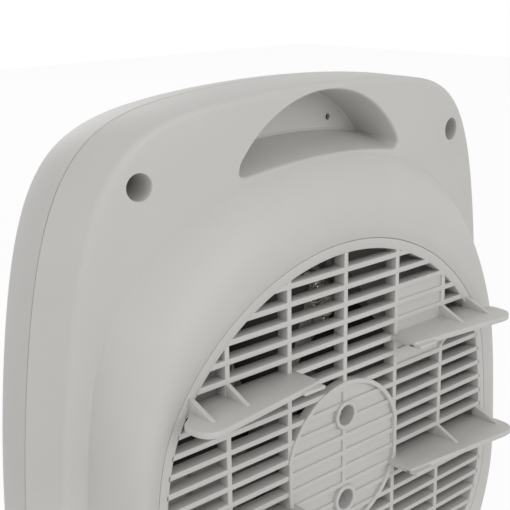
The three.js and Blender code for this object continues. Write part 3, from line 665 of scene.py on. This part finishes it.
def outletRing(radius, y):
    line = edgePoints(archEdge)
    turn = np.arctan2(line[:, 1] - axisZ, line[:, 0])
    return [(radius * math.cos(t), y, axisZ + radius * math.sin(t)) for t in turn]


def buildFrontCover():
    spread, wall, depth, inset = body["sideSpread"], body["wall"], front["depth"], front["inset"]
    start = body["partingDepth"] + body["clearance"]
    rise = depth - start
    rings = [flat(bodyPoints(body["partingEdge"], spread), -start),
             flat(bodyPoints(0, spread), -start - body["partingStep"])]
    for step in range(1, front["steps"] + 1):
        turn = math.pi / 2 * step / front["steps"]
        rings.append(flat(bodyPoints(inset * (1 - math.cos(turn)), spread), -start - rise * math.sin(turn)))
    radius, wide, high = front["outletRadius"], front["bezelWidth"], front["bezelHeight"]
    inner = bodyPoints(inset, spread)
    outletEdge = np.array([(p[0], p[2]) for p in outletRing(radius + wide + 1, 0)])
    rings += [flat(inner + (outletEdge - inner) * share, -depth) for share in front["faceShares"]]
    bezel = [(1.0, 0), (0.3, 0.25), (0, 0.9), (-0.2, high * 0.6), (-0.8, high * 0.85), (-1.8, high),
             (-wide + 1, high - 0.2), (-wide + 0.3, high - 0.5), (-wide, high - 1)]
    rings += [outletRing(radius + wide + a, -depth - d) for a, d in bezel]
    rings.append(outletRing(radius, -depth + wall))
    backRise = depth - wall - start
    for step in range(front["backSteps"], -1, -1):
        turn = math.pi / 2 * step / front["backSteps"]
        inward = wall + (inset - 0.5) * (1 - math.cos(turn))
        rings.append(flat(bodyPoints(inward, spread), -start - backRise * math.sin(turn)))
    shell = loft("frontShell", rings, closed=True)
    for x, hole in ((-front["knobX"], front["spindleHole"]), (front["knobX"], front["spindleHole"]),
                    (0, front["lensHole"])):
        drill(shell, x, front["knobZ"], hole, front["holeSpan"])
    return finishPiece(shell, "frontCoverMoulding", casing, 28)


frontCover = buildFrontCover()
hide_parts("front_cover")
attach(frontCover, "housing")
print("front cover done")


# Outlet grille: louvres lean upwards to the front, so that the blown air rises and the heater can't be seen
# from above. Upright bars and a ring hold them.
outlet = dict(pitch=9.0, thickness=1.8, rear=-67.6, face=-74.4, rise=7.2, ringIn=73.4, ringOut=75.6,
              intoRing=0.8, barPitch=26.0, barWidth=2.4, barFront=0.4, barRear=1.5, ringRound=0.6,
              ringSides=128, edgeRound=0.25)


def buildOutletGrille():
    parts = []
    rear, face = outlet["rear"], outlet["face"]
    halfRise, halfThick = outlet["rise"] / 2, outlet["thickness"] / 2
    radius = outlet["ringIn"] + outlet["intoRing"]
    count = int(radius // outlet["pitch"])
    for i in range(-count, count + 1):
        z = axisZ + i * outlet["pitch"]
        farEdge = abs(z - axisZ) + halfRise + halfThick
        if radius - farEdge < 1:
            continue
        corners = [(rear, z - halfRise - halfThick), (face, z + halfRise - halfThick),
                   (face, z + halfRise + halfThick), (rear, z - halfRise + halfThick)]
        half = math.sqrt(radius ** 2 - farEdge ** 2)
        louvre = loft("louvre", [[(x, y, edge) for y, edge in corners] for x in (-half, half)])
        outwards(louvre)
        parts.append(louvre)
    barHalf = outlet["barWidth"] / 2
    for i in range(-2, 3):
        x = i * outlet["barPitch"]
        half = math.sqrt(radius ** 2 - x ** 2)
        parts.append(block(x - barHalf, x + barHalf, face + outlet["barFront"], rear - outlet["barRear"],
                           axisZ - half, axisZ + half))
    ringIn, ringOut, soft = outlet["ringIn"], outlet["ringOut"], outlet["ringRound"]
    profile = [(ringIn, rear), (ringOut, rear), (ringOut, face + soft), (ringOut - soft, face),
               (ringIn + soft, face), (ringIn, face + soft)]
    parts.append(turned("ring", profile, 0, axisZ, outlet["ringSides"]))
    piece = joinPieces(parts)
    bevelEdges(piece, outlet["edgeRound"], angle=50)
    finishPiece(piece, "outletGrille", casing, 35)
    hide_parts("front_grille")
    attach(piece, "housing")


buildOutletGrille()
print("outlet grille done")


# Heating coil: one unbroken wire, curled about a ring around the motor's axis. It starts and ends beside
# the level mica sheet, and start is the angle that it leaves free there.
coil = dict(ringRadius=65.0, curlRadius=6.2, wireRadius=0.5, curls=108, middle=-59.35, start=0.03,
            steps=14, sheetThickness=1.2, sheetReach=77.5, sheetRear=-51.8, sheetFront=-66.9, notch=7.1,
            notchHalf=3.0, crossGap=0.2)


def buildCoil():
    points = []
    total = coil["curls"] * coil["steps"]
    span = 2 * math.pi - 2 * coil["start"]
    for i in range(total + 1):
        t = i / total
        around = coil["start"] + span * t
        curl = 2 * math.pi * coil["curls"] * t
        radius = coil["ringRadius"] + coil["curlRadius"] * math.cos(curl)
        y = coil["middle"] + coil["curlRadius"] * math.sin(curl)
        points.append(toFrame(radius * math.cos(around), y, axisZ + radius * math.sin(around)))
    line = bpy.data.curves.new("heatingCoil", "CURVE")
    line.dimensions = "3D"
    line.bevel_depth = coil["wireRadius"] * mm
    line.bevel_resolution = 2
    line.use_fill_caps = True
    spline = line.splines.new("POLY")
    spline.points.add(len(points) - 1)
    for knot, p in zip(spline.points, points):
        knot.co = (p.x, p.y, p.z, 1)
    piece = bpy.data.objects.new("heatingCoil", line)
    bpy.context.collection.objects.link(piece)
    activate(piece)
    bpy.ops.object.convert(target="MESH")
    outwards(bpy.context.object)
    return finishPiece(bpy.context.object, "heatingCoilWire", resistanceWire, 60)


# A sheet across the heater, with a hole where the coil goes through it on each side.
def buildMica(name, node, upright):
    half, reach, middle = coil["sheetThickness"] / 2, coil["sheetReach"], coil["middle"]
    y0, y1, deep = coil["sheetFront"], coil["sheetRear"], coil["notchHalf"]
    if upright:
        piece = block(-half, half, y0, y1, axisZ - reach, axisZ + reach)
    else:
        piece = block(-reach, reach, y0, y1, axisZ - half, axisZ + half)
    ring = roundOutline(0, 0, coil["notch"], 32)
    for at in (-coil["ringRadius"], coil["ringRadius"]):
        if upright:
            rings = [[(w, middle + b, axisZ + at + a) for a, b in ring] for w in (-deep, deep)]
        else:
            rings = [[(at + a, middle + b, axisZ + w) for a, b in ring] for w in (-deep, deep)]
        cutAway(piece, loft("notch", rings))
    if upright:
        gap = half + coil["crossGap"]
        cutAway(piece, block(-half - 1, half + 1, y0 - 1, y1 + 1, axisZ - gap, axisZ + gap))
    bevelEdges(piece, 0.15, 1, 50)
    finishPiece(piece, name, mica, 35)
    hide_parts(node)
    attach(piece, "housing")


buildMica("micaSheetLevel", "heater_mica_level", False)
buildMica("micaSheetUpright", "heater_mica_upright", True)

heatingCoil = buildCoil()
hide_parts("heating_coil")
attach(heatingCoil, "housing")
print("heating coil done")


# Fan: a hub with five swept blades. Chord, pitch in degrees and camber run from the root to the tip, and a
# blade narrows again from tipStart on.
fan = dict(start=33.2, end=45.0, hubRadius=15.0, bore=4.2, bladeCount=5, bladeRadius=70.2, thickness=1.5,
           rootChord=13.0, tipChord=45.0, rootPitch=38.0, tipPitch=21.0, camber=2.6, camberGain=0.6,
           sweep=0.22, rootAt=12.0, tipStart=0.86, tipLoss=0.28, edgeShare=0.45, steps=18, sides=20)


def buildBlade(turn):
    rings = []
    middle = -(fan["start"] + fan["end"]) / 2
    for i in range(fan["steps"] + 1):
        share = i / fan["steps"]
        radius = fan["rootAt"] + (fan["bladeRadius"] - fan["rootAt"]) * share
        tip = max(0.0, (share - fan["tipStart"]) / (1 - fan["tipStart"]))
        chord = fan["rootChord"] + (fan["tipChord"] - fan["rootChord"]) * share
        chord *= 1 - fan["tipLoss"] * tip ** 2
        pitch = math.radians(fan["rootPitch"] + (fan["tipPitch"] - fan["rootPitch"]) * share)
        camber = fan["camber"] + fan["camberGain"] * share
        ring = []
        for k in range(fan["sides"]):
            around = 2 * math.pi * k / fan["sides"]
            along = 0.5 * math.cos(around)
            bow = 1 - (2 * along) ** 2
            fullness = fan["edgeShare"] + (1 - fan["edgeShare"]) * bow
            over = camber * bow + fan["thickness"] / 2 * math.sin(around) * fullness
            across = along * chord * math.cos(pitch) - over * math.sin(pitch)
            y = middle + along * chord * math.sin(pitch) + over * math.cos(pitch)
            angle = turn + fan["sweep"] * share + across / radius
            ring.append((radius * math.cos(angle), y, axisZ + radius * math.sin(angle)))
        rings.append(ring)
    blade = loft("blade", rings)
    outwards(blade)
    return blade


def buildFan():
    start, end, hub = -fan["start"], -fan["end"], fan["hubRadius"]
    profile = [(fan["bore"], end), (hub - 1.5, end), (hub - 0.5, end + 0.4), (hub, end + 1.4),
               (hub, start - 0.5), (hub - 0.5, start), (fan["bore"], start)]
    piece = turned("hub", profile, 0, axisZ, 64)
    for i in range(fan["bladeCount"]):
        addOn(piece, buildBlade(2 * math.pi * i / fan["bladeCount"]))
    finishPiece(piece, "fanImpeller", darkPlastic, 40)
    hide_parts("fan_impeller")
    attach(piece, "fan")


buildFan()
print("fan done")


# Knobs: a skirt at the cover, a fluted grip that narrows a little to the face, and a pointer groove.
knob = dict(radius=18.0, rear=-73.0, depth=14.0, bore=3.3, floor=3.0, flutes=24, fluteDepth=0.5,
            fluteSides=6, grooveWidth=1.4, grooveDepth=0.7, grooveStart=4.0, grooveEnd=4.6)


def buildKnob(name, node, x, ride):
    radius, rear, bore = knob["radius"], knob["rear"], knob["bore"]
    face = rear - knob["depth"]
    floor = face + knob["floor"]
    profile = [(0, face), (radius - 5.0, face), (radius - 4.0, face + 0.3), (radius - 3.3, face + 1.0),
               (radius - 2.6, face + 2.4), (radius - 2.0, rear - 4.2), (radius - 0.6, rear - 3.4),
               (radius, rear - 2.4), (radius, rear - 0.3), (radius - 0.3, rear), (bore, rear),
               (bore, floor), (0, floor)]
    sides = knob["flutes"] * knob["fluteSides"]
    rings = []
    for i in range(sides):
        angle = 2 * math.pi * i / sides
        wave = 0.5 - 0.5 * math.cos(angle * knob["flutes"])
        ring = []
        for k, (r, y) in enumerate(profile):
            grip = r - knob["fluteDepth"] * wave if 3 <= k <= 5 else r
            ring.append((x + grip * math.cos(angle), y, front["knobZ"] + grip * math.sin(angle)))
        rings.append(ring)
    piece = loft(name, rings, closed=True)
    outwards(piece)
    half, z = knob["grooveWidth"] / 2, front["knobZ"]
    cutAway(piece, block(x - half, x + half, face - 1, face + knob["grooveDepth"], z + knob["grooveStart"],
                         z + radius - knob["grooveEnd"]))
    finishPiece(piece, name, knobPlastic, 35)
    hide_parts(node)
    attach(piece, ride)


buildKnob("thermostatKnob", "thermostat_knob", -front["knobX"], "thermostat")
buildKnob("selectorKnob", "selector_knob", front["knobX"], "selector")

# Pan-head screws with a cross recess; lift is how far a head stands off the floor that it is driven to.
screw = dict(head=3.7, height=3.0, shank=1.8, point=1.5, recess=0.9, recessDepth=1.8, recessReach=0.62,
             lift=0.3, sides=32, caseReach=14.0, motorReach=10.0)


def buildScrew(name, node, x, z, floor, material, reach):
    head, high, shank = screw["head"], screw["height"], screw["shank"]
    seat = -(floor - screw["lift"])
    end, top = seat - reach, seat + high
    profile = [(0, end), (shank * 0.5, end), (shank, end + screw["point"]), (shank, seat), (head, seat),
               (head, seat + high * 0.45), (head * 0.92, seat + high * 0.7),
               (head * 0.72, seat + high * 0.9), (head * 0.4, top), (0, top)]
    piece = turned(name, profile, x, z, screw["sides"])
    arm, half = head * screw["recessReach"], screw["recess"] / 2
    for a, b in ((arm, half), (half, arm)):
        cutAway(piece, block(x - a, x + a, top - screw["recessDepth"], top + 1, z - b, z + b))
    finishPiece(piece, name, material, 35)
    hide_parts(node)
    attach(piece, "housing")


corners = [("upper", "left"), ("upper", "right"), ("lower", "left"), ("lower", "right")]
for (x, z), (high, side) in zip(cover["wells"], corners):
    buildScrew("caseScrew" + high.title() + side.title(), "case_screw_" + high + "_" + side, x, z,
               cover["wellFloor"], blackScrew, screw["caseReach"])
for way, word in ((1, "upper"), (-1, "lower")):
    buildScrew("motorScrew" + word.title(), "motor_screw_" + word, 0, axisZ + way * grille["bossOffset"],
               grille["bossFloor"], screwSteel, screw["motorReach"])
print("knobs and screws done")


# The frame's own solids that stay in view take their finishes.
finishes = {
    "motor_cap": sheetSteel, "motor_can": sheetSteel, "motor_shaft": screwSteel, "fan_nut": screwSteel,
    "heater_band": sheetSteel, "thermal_cutout": darkPlastic, "thermostat_body": darkPlastic,
    "thermostat_spindle": screwSteel, "selector_switch": darkPlastic, "selector_spindle": screwSteel,
    "pilot_lens": amberLens, "cord_inlet": rubber, "foot_rear_left": rubber, "foot_rear_right": rubber,
    "foot_front_left": rubber, "foot_front_right": rubber,
}
for nodeName, finish in finishes.items():
    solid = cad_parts[nodeName]
    if not solid.material_slots:
        solid.data.materials.append(finish)
    for materialSlot in solid.material_slots:
        materialSlot.material = finish
print("finishes done")


# Stage: a pale floor that the camera sees almost as white as the background, and four soft boxes whose
# strengths were fitted to the tones of the photograph. Sizes here are in metres and powers in watts.
stage = dict(floorSize=6, floorDrop=0.0005, floorGrey=0.8, floorRoughness=0.9, whiteShare=0.93,
             worldStrength=0.63, aim=(0, 0, 0.17),
             lamps=[("rearSoftbox", (-0.2, 2.8, 1.2), 1.8, 20), ("sideSoftbox", (2.6, 0.3, 1.2), 1.6, 8),
                    ("cameraSoftbox", (1.6, 2.0, 1.4), 1.8, 3),
                    ("frontSoftbox", (-0.8, -2.6, 1.5), 1.6, 12)])
white = (1, 1, 1, 1)


def buildStage():
    bpy.ops.mesh.primitive_plane_add(size=stage["floorSize"], location=(0, 0, -stage["floorDrop"]))
    floor = bpy.context.object
    floor.name = "studioFloor"
    # Matt grey paint, mixed with plain white light for the camera's own rays only.
    material, tree, shader = newMaterial("paleStudioFloor")
    shader.inputs["Base Color"].default_value = (stage["floorGrey"],) * 3 + (1,)
    shader.inputs["Roughness"].default_value = stage["floorRoughness"]
    rays = addNode(tree, "ShaderNodeLightPath")
    glow = addNode(tree, "ShaderNodeEmission", {"Color": white, "Strength": 1.0})
    part = addNode(tree, "ShaderNodeMath", {"operation": "MULTIPLY"}, {0: rays.outputs["Is Camera Ray"]})
    part.inputs[1].default_value = stage["whiteShare"]
    mix = addNode(tree, "ShaderNodeMixShader", {},
                  {0: part.outputs[0], 1: shader.outputs[0], 2: glow.outputs[0]})
    tree.links.new(mix.outputs[0], tree.nodes["Material Output"].inputs["Surface"])
    floor.data.materials.append(material)


def addLamp(name, place, target, size, power):
    lamp = bpy.data.lights.new(name, "AREA")
    lamp.shape = "DISK"
    lamp.size = size
    lamp.energy = power
    holder = bpy.data.objects.new(name, lamp)
    bpy.context.collection.objects.link(holder)
    holder.location = place
    holder.rotation_euler = (Vector(target) - Vector(place)).to_track_quat("-Z", "Y").to_euler()


# The world lights the part at its set strength and shows itself to the camera as plain white.
def buildLight():
    world = bpy.data.worlds.new("studioWorld")
    bpy.context.scene.world = world
    world.use_nodes = True
    tree = world.node_tree
    back = tree.nodes["Background"]
    back.inputs["Color"].default_value = white
    back.inputs["Strength"].default_value = stage["worldStrength"]
    seen = addNode(tree, "ShaderNodeBackground", {"Color": white, "Strength": 1.0})
    rays = addNode(tree, "ShaderNodeLightPath")
    camera = addNode(tree, "ShaderNodeMath", {"operation": "MAXIMUM"},
                     {0: rays.outputs["Is Camera Ray"], 1: rays.outputs["Is Glossy Ray"]})
    either = addNode(tree, "ShaderNodeMath", {"operation": "MAXIMUM"},
                     {0: camera.outputs[0], 1: rays.outputs["Is Transmission Ray"]})
    mix = addNode(tree, "ShaderNodeMixShader", {},
                  {0: either.outputs[0], 1: back.outputs[0], 2: seen.outputs[0]})
    tree.links.new(mix.outputs[0], tree.nodes["World Output"].inputs["Surface"])
    for name, place, size, power in stage["lamps"]:
        addLamp(name, place, stage["aim"], size, power)


# The camera was fitted to the slats, bars and screw wells of the photograph (510 by 510 pixels).
view = dict(focal=1021.3, imageWidth=510.0, sensor=36, clipStart=0.01, place=(277.3, 253.5, 203.4),
            ahead=(-0.646, -0.712, -0.275), up=(-0.196, -0.194, 0.961))


def buildCamera():
    lens = bpy.data.cameras.new("photoCamera")
    lens.sensor_width = view["sensor"]
    lens.lens = view["sensor"] * view["focal"] / view["imageWidth"]
    lens.clip_start = view["clipStart"]
    holder = bpy.data.objects.new("photoCamera", lens)
    bpy.context.collection.objects.link(holder)
    ahead = Vector(view["ahead"]).normalized()
    up = Vector(view["up"])
    up = (up - up.dot(ahead) * ahead).normalized()
    right = ahead.cross(up)
    turn = Matrix((right, up, -ahead)).transposed()
    holder.matrix_world = Matrix.Translation(toFrame(*view["place"])) @ turn.to_4x4()
    bpy.context.scene.camera = holder


buildStage()
buildLight()
buildCamera()
bpy.context.scene.view_settings.view_transform = "Standard"
print("stage, light and camera done")
